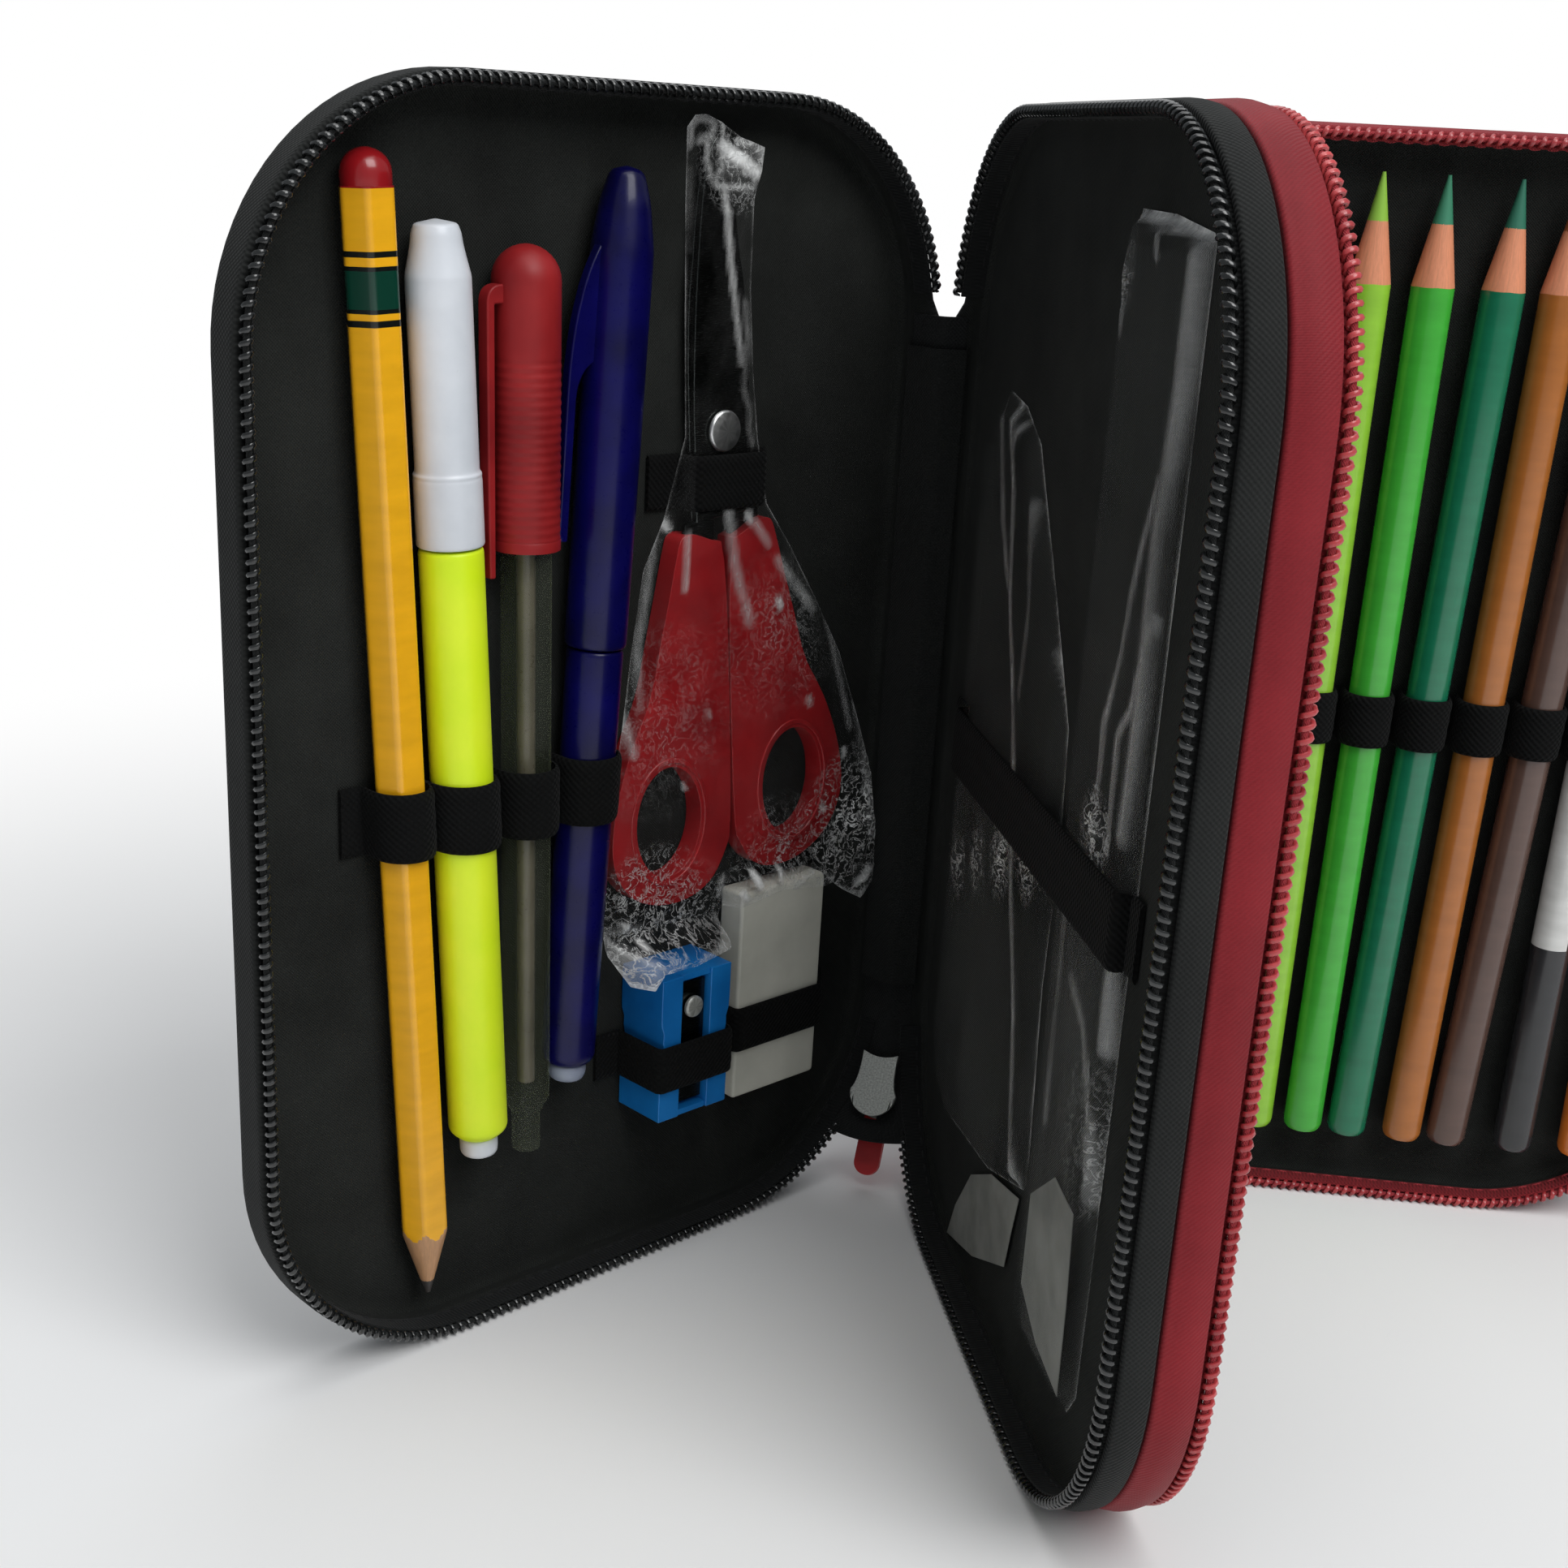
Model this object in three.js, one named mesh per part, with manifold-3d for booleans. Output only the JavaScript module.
// A zipped pencil case with three compartments, standing open on its lower edges.
// Six shallow trays in four leaves: front cover, two dividers and back cover. The leaves turn on
// their spine edges like the pages of a book. Two compartments stand open, the third is zipped shut.
// Millimetres, +Z up, the spine is upright and the open side faces -Y.
//
// Every leaf is drawn in its own frame: u runs from the spine to the free edge, z runs up, and the
// depth runs from the rim plane, at 0, into the tray.

import * as THREE from 'three';
import { mergeVertices } from 'three/addons/utils/BufferGeometryUtils.js';
import Module from 'manifold-3d';

const wasm = await Module();
wasm.setup();

// Trays
const LEAF_HEIGHT = 200;
const LEAF_WIDTH = 138;
const LEAF_CORNER = 38;
const COVER_DEPTH = 10.5;
const BLACK_DEPTH = 8;
const RED_DEPTH = 9.5;
const WALL = 1.6;
const PANEL = 1.5;
const COVER_ROUND = 2.2;
const DIVIDER_ROUND = 0.7;
const SPINE_RIM = 0.25;
const CORNER_STEPS = 8;

// How far the leaves stand open, in degrees
const COVER_OPENING = 54.46;
const DIVIDER_OPENING = 75.48;

// Clearances
const TOUCH_GAP = 0.3;
const RUNNING_GAP = 0.4;
const CUT_OVERRUN = 1;

// Facets round a turned or curved edge
const PEN_SIDES = 12;
const RIVET_SIDES = 10;
const SMALL_SIDES = 8;
const HEXAGON_SIDES = 6;
const CURVE_STEPS = 4;
const RING_STEPS = 5;
const LOOP_STEPS = 3;

// Zip: a coil on the outer edge of a woven tape
const ZIP_PITCH = 2.5;
const COIL_WIDTH = 2.3;
const COIL_CREST = 0.15;
const COIL_GROOVE = 1;
const COIL_FOOT = 2.7;
const TAPE_THICKNESS = 0.4;
const TAPE_REACH = 5.5;
const TAPE_EDGE = 1.4;
const TAPE_FOLD = 1.6;
const TAPE_START = 11.25;
const COIL_START = 45;
const PATH_GRAIN = 1e-5;

// Zip slider and its pull
const SLIDER_ANGLE = 30;
const SLIDER_LENGTH = 12.5;
const SHIELD_WIDTH = 9.2;
const SHIELD_TAIL = 7.6;
const SHIELD_THICKNESS = 1;
const SHIELD_INSET = 3.3;
const SADDLE_WIDTH = 7.2;
const SADDLE_TAIL = 6.4;
const SADDLE_GAP = 0.9;
const POST_WIDTH = 2.2;
const POST_LENGTH = 2.4;
const POST_SETBACK = 1.2;
const CROWN_WIDTH = 1.8;
const CROWN_THICKNESS = 0.9;
const CROWN_OPENING = 2.4;
const CROWN_SPAN = 5.4;
const CROWN_FOOT = 7.2;
const PULL_LENGTH = 18;
const PULL_WIDTH = 5;
const PULL_THICKNESS = 1.5;
const PULL_BAR = 1.2;
const PULL_WINDOW_WIDTH = 2.6;
const PULL_WINDOW_LENGTH = 3.4;

// Inner spine bindings
const BINDING_BOTTOM = 40;
const BINDING_TOP = 160;
const BINDING_THICKNESS = 0.5;
const BINDING_HEM = 3;

// Elastic
const ELASTIC = 0.7;
const ELASTIC_TAB = 3;
const BAND_TAB = 6;

// Front cover: pens and pencil in one row of loops, each placed by its two ends. A pen stands some way
// up from the bottom and ends short of the top. The first is placed from the spine and each other one
// beside the one before it, with a space between their barrels below and between their caps above.
const LOOP_ROW = { bottom: 86.5, top: 97.5, left: 69.2, right: 119.5 };
const ERASABLE = {
  low: 39.9, headroom: 12, lowReach: 78.5, highReach: 70.4,
  radius: 4.6, plugRadius: 3.3, plug: 3, shoulder: 1.5, neckRadius: 3.4, neck: 16,
  capLength: 73, capRadius: 5, capTip: 2.4, capTaper: 12,
  clipThickness: 1.8, clipStand: 4.4, clipTop: 14, clipBottom: 56, clipSlope: 20,
};
const BALLPEN = {
  low: 29.8, headroom: 23.2, lowSpace: -0.288, highSpace: 8.7,
  flats: 7.6, heelRadius: 2.4, heel: 7, heelTaper: 3, bore: 1.9, boreStart: 12,
  barrelDrop: 20.87, refillRadius: 1.5, refillDrop: 18.8, refillTipRadius: 0.5, refillCone: 6,
  capLength: 44.6, capRadius: 5.3, capTip: 2.6, capDome: 4.4, capBore: 4.5, capCeiling: 6,
  capRib: 0.25, capRibs: 5,
  clipWidth: 2.4, clipStand: 1.2, clipThickness: 1.4, clipTop: 5.5, clipOverhang: 3.8,
};
const MARKER = {
  low: 31.5, headroom: 20, lowSpace: 0.312, highSpace: 5.4,
  radius: 4.9, plugRadius: 3.2, plug: 3.4, shoulder: 1.6, neckRadius: 3.6, neck: 12,
  capLength: 46.2, capRadius: 5.1, capSkirt: 10.7, capLedge: 0.35, capTip: 3.1, capTaper: 6,
  capBevel: 0.9,
};
const PENCIL = {
  low: 7.7, headroom: 10.9, lowSpace: 0.285, highSpace: 1.9,
  flats: 7.3, cone: 13.5, point: 0.5, cap: 5, capRadius: 3.6, capNose: 2.2,
};
const PEN_ROW = [ERASABLE, BALLPEN, MARKER, PENCIL];

// Front cover: scissors, sharpener and eraser
const SCISSORS = {
  pivotReach: 47.1, pivotDrop: 52.5, lean: 5,
  bladeLength: 45.5, bladeWidth: 12.4, bladeTip: 4.4, bladeThickness: 1, edgeGround: 1.6,
  tangWidth: 6.4, tangLength: 27, tangOffset: 5.6,
  handleTop: 14.5, handleThickness: 4, handleTopWidth: 10.8, shoulderDrop: 26, shoulderWidth: 15.6,
  ringCentre: 15.5, ringDrop: 66, ringWidth: 11.5, ringHeight: 14.9,
  holeWidth: 7.85, holeHeight: 10.2,
  cleft: 46.8, cleftWidth: 3.4,
  rivetRadius: 2, rivetHead: 3.5, rivetHeadHeight: 0.8, rivetHole: 2.3,
};
const SCISSORS_BAND = { drop: 65.2, width: 9, left: 34.5, right: 60.5 };
const SHARPENER = {
  left: 46.3, right: 62.3, bottom: 28.5, top: 55.5, depth: 11, groove: 6.6, grooveDepth: 3,
  waist: 0.9, shoulder: 6.75, bore: 4, boreTip: 1, bladeWidth: 6, bladeLength: 23, bladeThickness: 0.6,
  screwDrop: 6.75, screwRadius: 2, screwShank: 1.1, screwLength: 2, screwHead: 0.9,
};
const ERASER = { left: 18.5, right: 39.5, bottom: 24.5, top: 65.3, depth: 6, edge: 0.8 };
const KEEPER_BAND = { bottom: 34.4, top: 43 };

// First divider, black side: ruler and set square under one band
const RULER = { left: 84, width: 28, bottom: 17, length: 165, thickness: 2, bevel: 6, edge: 0.9 };
const SQUARE = { left: 17, bottom: 36, longLeg: 110, shortLeg: 63.5, thickness: 2, cutInset: 15 };
const SQUARE_BAND = { bottom: 88, top: 99.5, left: 9, right: 117 };

// Second divider, red side: ten coloured pencils, each in its own loop
const CRAYON = {
  first: 25, spacing: 10.3, low: 13, length: 180, radius: 3.7, cone: 18.5, lead: 1.4,
  point: 0.3, heel: 0.9,
};
// How far each coloured pencil leans in its loop, in degrees, from the spine outward
const CRAYON_LEANS = [0.6, -0.4, 0.3, -0.4, 0, 1.2, 0.9, 2.1, 0.3, -1.2];
const CRAYON_LOOPS = { bottom: 92.7, top: 102.4 };

// Plain bands in the two trays that hold nothing
const SPARE_BAND = { bottom: 94, top: 103, left: 14, right: 124 };

const BLACK_FABRIC = { color: 0x1c1e1f, roughness: 0.85, metalness: 0 };
const RED_FABRIC = { color: 0x9c2a36, roughness: 0.7, metalness: 0 };
const BLACK_ZIP = { color: 0x17191a, roughness: 0.5, metalness: 0 };
const RED_ZIP = { color: 0x9a2f37, roughness: 0.55, metalness: 0 };
const BINDING_CLOTH = { color: 0x202223, roughness: 0.9, metalness: 0 };
const ELASTIC_CLOTH = { color: 0x0c0d0e, roughness: 0.9, metalness: 0 };
const NICKEL = { color: 0x9ba09e, roughness: 0.35, metalness: 1 };
const STEEL = { color: 0x8d9294, roughness: 0.3, metalness: 1 };
const RED_RUBBER = { color: 0xc42a33, roughness: 0.5, metalness: 0 };
const YELLOW_LACQUER = { color: 0xe8a51c, roughness: 0.3, metalness: 0 };
const MARKER_YELLOW = { color: 0xd2ee1c, roughness: 0.45, metalness: 0 };
const MARKER_WHITE = { color: 0xe2e6ea, roughness: 0.35, metalness: 0 };
const CLEAR_PLASTIC = { color: 0x8f938f, roughness: 0.2, metalness: 0 };
const INK_TUBE = { color: 0x6f7f7a, roughness: 0.4, metalness: 0 };
const PEN_RED = { color: 0xb3262b, roughness: 0.4, metalness: 0 };
const PEN_BLUE = { color: 0x15128a, roughness: 0.35, metalness: 0 };
const HANDLE_RED = { color: 0xb02528, roughness: 0.45, metalness: 0 };
const SHARPENER_BLUE = { color: 0x1a72c0, roughness: 0.4, metalness: 0 };
const ERASER_WHITE = { color: 0xbfc0b8, roughness: 0.8, metalness: 0 };
const CLEAR_ACRYLIC = { color: 0xa9aeb0, roughness: 0.15, metalness: 0 };
const CRAYON_COLOURS = [
  0xd8c83a, 0xc8322e, 0x2f62b5, 0xb5c733, 0x43b13a, 0x1d7a5b, 0xb06a2e, 0x5c4640, 0x2d2e30, 0xe07a2c,
];

const RIGHT_ANGLE = Math.PI / 2;
const HALF_TURN = Math.PI;
const radians = THREE.MathUtils.degToRad;

// Solids

function weld(geometry) {
  const plain = geometry.clone();
  plain.deleteAttribute('normal');
  plain.deleteAttribute('uv');
  const merged = mergeVertices(plain);
  const corners = merged.index.array;
  const kept = [];
  for (let i = 0; i < corners.length; i += 3) {
    const [a, b, c] = corners.slice(i, i + 3);
    if (a !== b && b !== c && c !== a) kept.push(a, b, c);
  }
  merged.setIndex(kept);
  return merged;
}

function signedVolume(geometry) {
  const place = geometry.attributes.position;
  const corners = geometry.index.array;
  const [a, b, c] = [new THREE.Vector3(), new THREE.Vector3(), new THREE.Vector3()];
  let volume = 0;
  for (let i = 0; i < corners.length; i += 3) {
    a.fromBufferAttribute(place, corners[i]);
    b.fromBufferAttribute(place, corners[i + 1]);
    c.fromBufferAttribute(place, corners[i + 2]);
    volume += a.dot(b.cross(c));
  }
  return volume;
}

function facingOut(geometry) {
  if (signedVolume(geometry) < 0) geometry.setIndex(Array.from(geometry.index.array).reverse());
  return geometry;
}

function solidFrom(points, faces) {
  const geometry = new THREE.BufferGeometry();
  geometry.setAttribute('position', new THREE.Float32BufferAttribute(points.flat(), 3));
  geometry.setIndex(faces.flat());
  return facingOut(geometry);
}

function toManifold(geometry) {
  const solid = facingOut(weld(geometry));
  return new wasm.Manifold(new wasm.Mesh({
    numProp: 3,
    vertProperties: new Float32Array(solid.attributes.position.array),
    triVerts: new Uint32Array(solid.index.array),
  }));
}

function fromManifold(solid) {
  const mesh = solid.getMesh();
  const geometry = new THREE.BufferGeometry();
  geometry.setAttribute('position', new THREE.BufferAttribute(mesh.vertProperties, 3));
  geometry.setIndex(new THREE.BufferAttribute(mesh.triVerts, 1));
  return geometry;
}

function join(...geometries) {
  return fromManifold(geometries.map(toManifold).reduce((whole, next) => whole.add(next)));
}

function cut(geometry, ...tools) {
  const whole = toManifold(geometry);
  return fromManifold(tools.map(toManifold).reduce((rest, tool) => rest.subtract(tool), whole));
}

// A solid of revolution about the upright axis, from [radius, height] pairs that start and end on it.
function turned(profile, sides, startAngle = 0) {
  const points = profile.map(([radius, height]) => new THREE.Vector2(radius, height));
  return new THREE.LatheGeometry(points, sides, startAngle, 2 * Math.PI).rotateX(RIGHT_ANGLE);
}

// An outline in u and depth, raised along z.
function raised(shape, bottom, top) {
  const settings = { depth: top - bottom, bevelEnabled: false };
  return new THREE.ExtrudeGeometry(shape, settings).translate(0, 0, bottom);
}

// An outline in u and z, with its thickness along the depth, from front to back.
function plate(shape, front, back, curveSegments = 1) {
  const settings = { depth: back - front, bevelEnabled: false, curveSegments };
  return new THREE.ExtrudeGeometry(shape, settings).rotateX(RIGHT_ANGLE).translate(0, back, 0);
}

function block(left, right, front, back, bottom, top) {
  return new THREE.BoxGeometry(right - left, back - front, top - bottom)
    .translate((left + right) / 2, (front + back) / 2, (bottom + top) / 2);
}

function polygon(points) {
  return new THREE.Shape(points.map(([x, y]) => new THREE.Vector2(x, y)));
}

// A strip of even thickness whose underside follows the points [u, depth]; it grows toward the rim.
function ribbon(points, thickness, bottom, top) {
  const under = points.map(([u, depth]) => new THREE.Vector2(u, depth));
  const over = under.map((point, i) => {
    const before = under[Math.max(i - 1, 0)];
    const after = under[Math.min(i + 1, under.length - 1)];
    const normals = [];
    if (i > 0) normals.push(normalOf(before, point));
    if (i < under.length - 1) normals.push(normalOf(point, after));
    const mean = normals.reduce((sum, next) => sum.clone().add(next)).normalize();
    return point.clone().addScaledVector(mean, thickness / mean.dot(normals[0]));
  });
  return raised(new THREE.Shape([...under, ...over.reverse()]), bottom, top);
}

function normalOf(from, to) {
  const along = to.clone().sub(from).normalize();
  return new THREE.Vector2(along.y, -along.x);
}

// Leaves and placing

const model = new THREE.Group();

function makeLeaf(parent, x, y, turn, side) {
  const group = new THREE.Group();
  group.position.set(x, y, 0);
  group.rotation.z = turn;
  parent.add(group);
  return { group, side };
}

// A piece keeps its place in u, depth and z; on a leaf whose depth runs the other way it is mirrored.
function addPiece(leaf, name, geometry, finish, place = {}) {
  const { u = 0, depth = 0, z = 0, lean = 0 } = place;
  const solid = facingOut(weld(geometry).scale(1, leaf.side, 1));
  solid.computeVertexNormals();
  const mesh = new THREE.Mesh(solid, new THREE.MeshStandardMaterial(finish));
  mesh.name = name;
  mesh.position.set(u, leaf.side * depth, z);
  mesh.rotation.y = lean;
  leaf.group.add(mesh);
  return mesh;
}

// Trays

function cornerCentres() {
  return [
    { u: LEAF_CORNER, z: LEAF_CORNER, start: HALF_TURN },
    { u: LEAF_WIDTH - LEAF_CORNER, z: LEAF_CORNER, start: HALF_TURN + RIGHT_ANGLE },
    { u: LEAF_WIDTH - LEAF_CORNER, z: LEAF_HEIGHT - LEAF_CORNER, start: 0 },
    { u: LEAF_CORNER, z: LEAF_HEIGHT - LEAF_CORNER, start: RIGHT_ANGLE },
  ];
}

function leafOutline(inset) {
  const radius = LEAF_CORNER - inset;
  return cornerCentres().flatMap(({ u, z, start }) => Array.from({ length: CORNER_STEPS + 1 }, (_, step) => {
    const angle = start + (RIGHT_ANGLE * step) / CORNER_STEPS;
    return [u + radius * Math.cos(angle), z + radius * Math.sin(angle)];
  }));
}

// The rim stands under the coil, and rises almost to the rim plane along the straight of the spine.
function rimDepth(index, count) {
  return index === 0 || index === count - 1 ? SPINE_RIM : COIL_FOOT + TOUCH_GAP;
}

function trayGeometry(depth, edgeRound) {
  const floor = depth - PANEL;
  const back = depth - TOUCH_GAP / 2;
  const knee = edgeRound * (1 - Math.SQRT1_2);
  const count = leafOutline(0).length;
  const rim = (index) => rimDepth(index, count);
  const rings = [
    { inset: WALL, depthAt: () => floor },
    { inset: WALL, depthAt: rim },
    { inset: 0, depthAt: rim },
    { inset: 0, depthAt: () => back - edgeRound },
    { inset: knee, depthAt: () => back - knee },
    { inset: edgeRound, depthAt: () => back },
  ];
  const points = rings.flatMap(({ inset, depthAt }) => (
    leafOutline(inset).map(([u, z], index) => [u, depthAt(index), z])
  ));
  const faces = [];
  for (let ring = 0; ring < rings.length - 1; ring += 1) {
    for (let i = 0; i < count; i += 1) {
      const a = ring * count + i;
      const b = ring * count + ((i + 1) % count);
      faces.push([a, b, b + count], [a, b + count, a + count]);
    }
  }
  const last = (rings.length - 1) * count;
  for (let i = 1; i < count - 1; i += 1) {
    faces.push([0, i + 1, i], [last, last + i, last + i + 1]);
  }
  return solidFrom(points, faces);
}

// Zip chain: one side of the zip, tape and coil, once round the leaf from spine to spine

// The path round the leaf as arcs and straights, from one angle past the spine to the same at the top.
function zipPath() {
  const skip = radians(TAPE_START);
  const arcs = cornerCentres();
  const straights = [LEAF_WIDTH, LEAF_HEIGHT, LEAF_WIDTH].map((side) => side - 2 * LEAF_CORNER);
  const pieces = [];
  let at = 0;
  arcs.forEach((arc, index) => {
    const from = index === 0 ? skip : 0;
    const to = index === arcs.length - 1 ? RIGHT_ANGLE - skip : RIGHT_ANGLE;
    pieces.push({ arc, from, to, begin: at });
    at += (to - from) * LEAF_CORNER;
    if (index < straights.length) at += straights[index];
  });
  return { pieces, length: at };
}

function pathPoint(path, distance, inset) {
  const radius = LEAF_CORNER - inset;
  const onArc = ({ arc, from }, run) => {
    const angle = arc.start + from + run / LEAF_CORNER;
    return [arc.u + radius * Math.cos(angle), arc.z + radius * Math.sin(angle)];
  };
  for (let index = 0; index < path.pieces.length; index += 1) {
    const piece = path.pieces[index];
    const span = (piece.to - piece.from) * LEAF_CORNER;
    const run = distance - piece.begin;
    if (run <= span) return onArc(piece, Math.max(run, 0));
    const next = path.pieces[index + 1];
    if (next && distance < next.begin) {
      const share = (run - span) / (next.begin - piece.begin - span);
      const [u0, z0] = onArc(piece, span);
      const [u1, z1] = onArc(next, 0);
      return [u0 + (u1 - u0) * share, z0 + (z1 - z0) * share];
    }
  }
  const last = path.pieces.at(-1);
  return onArc(last, (last.to - last.from) * LEAF_CORNER);
}

function coarseStations(path) {
  return path.pieces.flatMap(({ from, to, begin }) => {
    const step = RIGHT_ANGLE / CORNER_STEPS;
    const steps = Math.round((to - from) / step);
    return Array.from({ length: steps + 1 }, (_, i) => begin + ((to - from) * i * LEAF_CORNER) / steps);
  });
}

// Distances along the path are kept to a fine grain, so that equal stations are the same number.
function grained(distance) {
  return Math.round(distance / PATH_GRAIN) * PATH_GRAIN;
}

function inOrder(stations) {
  return [...new Set(stations)].sort((a, b) => a - b);
}

function joinLines(faces, first, second) {
  let i = 0;
  let j = 0;
  while (i < first.stations.length - 1 || j < second.stations.length - 1) {
    const ahead = first.stations[i + 1] ?? Infinity;
    const behind = second.stations[j + 1] ?? Infinity;
    const a = first.begin + i;
    const b = second.begin + j;
    if (ahead <= behind) {
      faces.push([a, a + 1, b]);
      i += 1;
    } else {
      faces.push([a, b + 1, b]);
      j += 1;
    }
  }
}

// Stations along the path: the leaf's own corners, and along the coil one crest or groove each half
// tooth.
function zipStations(path, closedAtTop) {
  const coilFrom = grained(radians(COIL_START - TAPE_START) * LEAF_CORNER);
  const pathEnd = grained(path.length);
  const coilTo = closedAtTop ? grained(path.length - coilFrom) : pathEnd;
  const teeth = Math.floor((coilTo - coilFrom) / ZIP_PITCH);
  const half = (coilTo - coilFrom) / (2 * teeth);
  const isCoil = (at) => at >= coilFrom && at <= coilTo;
  const turns = [coilFrom - half, coilFrom, coilTo, coilTo + half].map(grained);
  const smooth = inOrder([...coarseStations(path).map(grained), ...turns.filter((at) => at <= pathEnd)]);
  const crests = Array.from({ length: 2 * teeth + 1 }, (_, i) => grained(coilFrom + half * i));
  const toothed = inOrder([...smooth.filter((at) => !isCoil(at)), ...crests]);
  const crest = (at) => (Math.round((at - coilFrom) / half) % 2 ? COIL_GROOVE : COIL_CREST);
  return { smooth, toothed, isCoil, crest };
}

// Five lines along the path make the section: the coil's outer edge rises and falls once a tooth, the
// other four run smooth round coil and tape.
function zipLines({ smooth, toothed, isCoil, crest }) {
  const outerInset = (at) => (isCoil(at) ? 0 : TAPE_EDGE);
  return [
    { stations: toothed, inset: outerInset, depth: (at) => (isCoil(at) ? crest(at) : TAPE_FOLD) },
    { stations: smooth, inset: () => COIL_WIDTH, depth: (at) => (isCoil(at) ? COIL_CREST : TAPE_FOLD) },
    { stations: smooth, inset: () => COIL_WIDTH, depth: () => TAPE_REACH },
    { stations: smooth, inset: () => COIL_WIDTH - TAPE_THICKNESS, depth: () => COIL_FOOT },
    { stations: smooth, inset: outerInset, depth: () => COIL_FOOT },
  ];
}

function capEnd([crestEnd, topEnd, hemEnd, foldEnd, footEnd]) {
  return [[foldEnd, footEnd, crestEnd], [foldEnd, crestEnd, topEnd], [foldEnd, topEnd, hemEnd]];
}

function zipGeometry(closedAtTop) {
  const path = zipPath();
  const lines = zipLines(zipStations(path, closedAtTop));
  const points = [];
  lines.forEach((line) => {
    line.begin = points.length;
    line.stations.forEach((at) => {
      const [u, z] = pathPoint(path, at, line.inset(at));
      points.push([u, line.depth(at), z]);
    });
  });
  const faces = [];
  lines.forEach((line, index) => joinLines(faces, line, lines[(index + 1) % lines.length]));
  faces.push(...capEnd(lines.map((line) => line.begin)));
  const ends = lines.map((line) => line.begin + line.stations.length - 1);
  faces.push(...capEnd(ends).map((face) => face.reverse()));
  return solidFrom(points, faces);
}

// Zip slider: drawn with its inside toward +u, across the zip along depth, its tail end up

function shieldShape(width, tail) {
  const low = -SLIDER_LENGTH / 2;
  const high = SLIDER_LENGTH / 2;
  const half = width / 2;
  const shape = new THREE.Shape();
  shape.moveTo(-tail / 2, high);
  shape.quadraticCurveTo(-tail / 2, 0, -half, low + half);
  shape.absellipse(0, low + half, half, half, Math.PI, 2 * Math.PI, false);
  shape.quadraticCurveTo(tail / 2, 0, tail / 2, high);
  return shape;
}

// An outline across the zip and along it, with its thickness along u.
function crossPlate(shape, from, to) {
  const settings = { depth: to - from, bevelEnabled: false, curveSegments: CURVE_STEPS };
  return new THREE.ExtrudeGeometry(shape, settings)
    .rotateX(RIGHT_ANGLE).rotateZ(RIGHT_ANGLE).translate(from, 0, 0);
}

const SADDLE_OUTER = -(SADDLE_GAP + SHIELD_THICKNESS);
const PULL_AXIS = SADDLE_OUTER - TOUCH_GAP - PULL_THICKNESS / 2;

function crownGeometry(seated) {
  const top = SADDLE_OUTER - CROWN_OPENING;
  const outer = polygon([
    [SADDLE_OUTER + seated, -CROWN_FOOT / 2], [top - CROWN_THICKNESS, -CROWN_SPAN / 2],
    [top - CROWN_THICKNESS, CROWN_SPAN / 2], [SADDLE_OUTER + seated, CROWN_FOOT / 2],
  ]);
  const inner = polygon([
    [SADDLE_OUTER, -CROWN_FOOT / 2 + CROWN_THICKNESS], [top, -CROWN_SPAN / 2 + CROWN_THICKNESS],
    [top, CROWN_SPAN / 2 - CROWN_THICKNESS], [SADDLE_OUTER, CROWN_FOOT / 2 - CROWN_THICKNESS],
  ]);
  const arch = plate(outer, -CROWN_WIDTH / 2, CROWN_WIDTH / 2);
  const eye = plate(inner, -CROWN_WIDTH / 2 - CUT_OVERRUN, CROWN_WIDTH / 2 + CUT_OVERRUN);
  return cut(arch, eye);
}

// Two shields join at the post by the nose; the crown on the outer one carries the pull.
function sliderGeometry() {
  const shieldOutline = shieldShape(SHIELD_WIDTH, SHIELD_TAIL);
  const shield = crossPlate(shieldOutline, SHIELD_INSET, SHIELD_INSET + SHIELD_THICKNESS);
  const saddle = crossPlate(shieldShape(SADDLE_WIDTH, SADDLE_TAIL), SADDLE_OUTER, -SADDLE_GAP);
  const nose = -SLIDER_LENGTH / 2 + POST_SETBACK;
  const seated = SHIELD_THICKNESS / 2;
  const post = block(
    -SADDLE_GAP - seated, SHIELD_INSET + seated, -POST_WIDTH / 2, POST_WIDTH / 2, nose, nose + POST_LENGTH,
  );
  return join(shield, saddle, post, crownGeometry(seated));
}

// The pull hangs from the bar at its upper end, which runs under the slider's crown.
function pullGeometry() {
  const half = PULL_WIDTH / 2;
  const low = PULL_BAR / 2 - PULL_LENGTH;
  const shape = new THREE.Shape();
  shape.moveTo(-half, PULL_BAR / 2);
  shape.lineTo(-half, low + half);
  shape.absellipse(0, low + half, half, half, Math.PI, 2 * Math.PI, false);
  shape.lineTo(half, PULL_BAR / 2);
  const top = -PULL_BAR / 2;
  const side = PULL_WINDOW_WIDTH / 2;
  shape.holes.push(new THREE.Path([
    new THREE.Vector2(-side, top), new THREE.Vector2(side, top),
    new THREE.Vector2(side, top - PULL_WINDOW_LENGTH), new THREE.Vector2(-side, top - PULL_WINDOW_LENGTH),
  ]));
  return crossPlate(shape, -PULL_THICKNESS / 2, PULL_THICKNESS / 2);
}

function addSlider(leaf, number, atTop) {
  const angle = radians(SLIDER_ANGLE);
  const rise = LEAF_CORNER * (1 - Math.sin(angle));
  const holder = new THREE.Group();
  holder.position.set(LEAF_CORNER * (1 - Math.cos(angle)), 0, atTop ? LEAF_HEIGHT - rise : rise);
  holder.rotation.y = atTop ? angle : -angle;
  leaf.group.add(holder);
  const frame = { group: holder, side: 1 };
  addPiece(frame, `zip_slider_${number}`, sliderGeometry(), NICKEL);
  addPiece(frame, `zip_pull_${number}`, pullGeometry(), RED_RUBBER, { u: PULL_AXIS });
}

// Inner spine binding: lies on both spine walls and folds on the hinge line

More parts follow.
